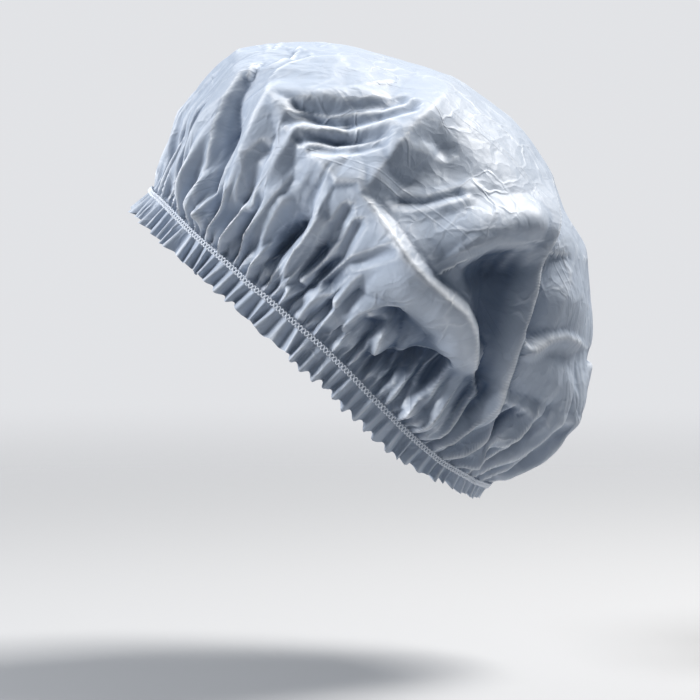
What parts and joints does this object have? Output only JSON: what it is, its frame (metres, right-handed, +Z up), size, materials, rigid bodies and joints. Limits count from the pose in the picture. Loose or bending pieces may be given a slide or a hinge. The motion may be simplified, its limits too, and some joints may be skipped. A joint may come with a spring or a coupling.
{
  "type": "disposable shower cap",
  "caption": "Puffed, crinkled plastic film shower cap in its worn shape, gathered on a sewn-in elastic with a pleated ruffle.",
  "frame": {"origin": "middle of the oval that the elastic makes round the head", "axes": "+Z up as worn, -X the way the wearer faces, +X the nape, -Y the wearer's left ear"},
  "size_m": [0.2643, 0.2453, 0.2594],
  "materials": {
    "film": "thin, soft, slightly see-through pale grey-blue film, crinkled, semi-gloss",
    "elastic": "white covered elastic, matt"
  },
  "bodies": {
    "root": {"film": "film", "elastic_band": "elastic"}
  },
  "joints": []
}
